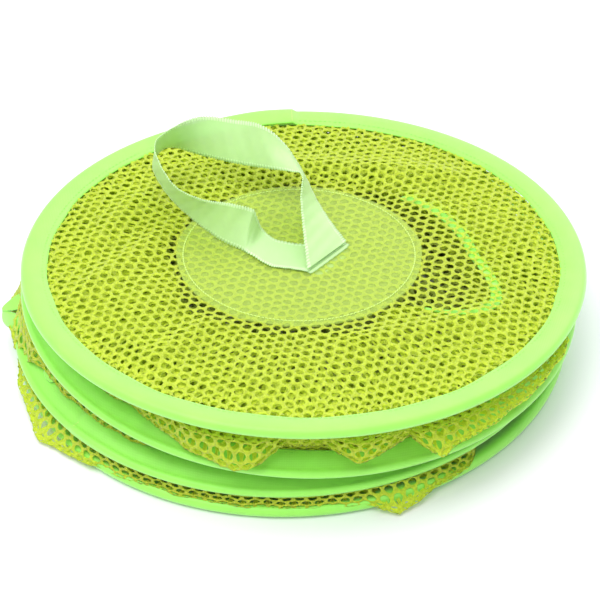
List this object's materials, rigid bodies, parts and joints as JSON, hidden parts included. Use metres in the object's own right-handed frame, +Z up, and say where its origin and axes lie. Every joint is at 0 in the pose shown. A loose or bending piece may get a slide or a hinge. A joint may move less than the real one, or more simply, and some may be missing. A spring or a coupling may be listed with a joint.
{
  "type": "hanging mesh organiser",
  "caption": "Collapsible hanging mesh organiser folded flat: fabric-bound wire hoops with net floors and gathered net walls, and a ribbon loop on a round patch.",
  "frame": {"origin": "centre of the base hoop, on the face it stands on", "axes": "+Z up along the way the tiers unfold, +Y away from the viewer, the side opening's corner towards -X"},
  "size_m": [0.3393, 0.3294, 0.1023],
  "materials": {
    "spring_wire": "drawn spring steel",
    "sleeve_metal": "crimped",
    "green_tape": "woven binding tape, slight sheen",
    "net": "warp-knit mesh",
    "patch_fabric": "sheer woven",
    "pale_thread": "stitched",
    "ribbon": "fine weave, semi sheer"
  },
  "bodies": {
    "base_hoop": {"base_hoop_wire": "spring_wire", "base_wire_sleeve": "sleeve_metal", "base_hoop_binding": "green_tape", "base_net_floor": "net", "lower_wall_net": "net", "lower_opening_tape": "green_tape"},
    "third_hoop": {"third_hoop_wire": "spring_wire", "third_wire_sleeve": "sleeve_metal", "third_hoop_binding": "green_tape", "third_net_floor": "net", "middle_wall_net": "net", "middle_opening_tape": "green_tape"},
    "second_hoop": {"second_hoop_wire": "spring_wire", "second_wire_sleeve": "sleeve_metal", "second_hoop_binding": "green_tape", "second_net_floor": "net", "upper_wall_net": "net", "upper_opening_tape": "green_tape"},
    "top_hoop": {"top_hoop_wire": "spring_wire", "top_wire_sleeve": "sleeve_metal", "top_hoop_binding": "green_tape", "top_net_panel": "net", "patch_upper": "patch_fabric", "patch_lower": "patch_fabric", "patch_stitching": "pale_thread", "loop_bar_tack": "pale_thread", "loop_end_tabs": "ribbon"},
    "loop": {"hanging_loop": "ribbon"}
  },
  "joints": [
    {"name": "third_hoop_lift", "type": "slide", "parent": "base_hoop", "child": "third_hoop", "axis": [0, 0, 1], "range_m": [0, 0.246], "deforming": ["lower_wall_net", "lower_opening_tape"]},
    {"name": "second_hoop_lift", "type": "slide", "parent": "third_hoop", "child": "second_hoop", "axis": [0, 0, 1], "range_m": [0, 0.242], "deforming": ["middle_wall_net", "middle_opening_tape"]},
    {"name": "top_hoop_lift", "type": "slide", "parent": "second_hoop", "child": "top_hoop", "axis": [0, 0, 1], "range_m": [0, 0.238], "deforming": ["upper_wall_net", "upper_opening_tape"]},
    {"name": "loop_hinge", "type": "hinge", "parent": "top_hoop", "child": "loop", "pos_m": [0.0213, -0.0103, 0.0601], "axis": [0.6351, 0.77, -0.0601], "range_deg": [0, 140]}
  ]
}
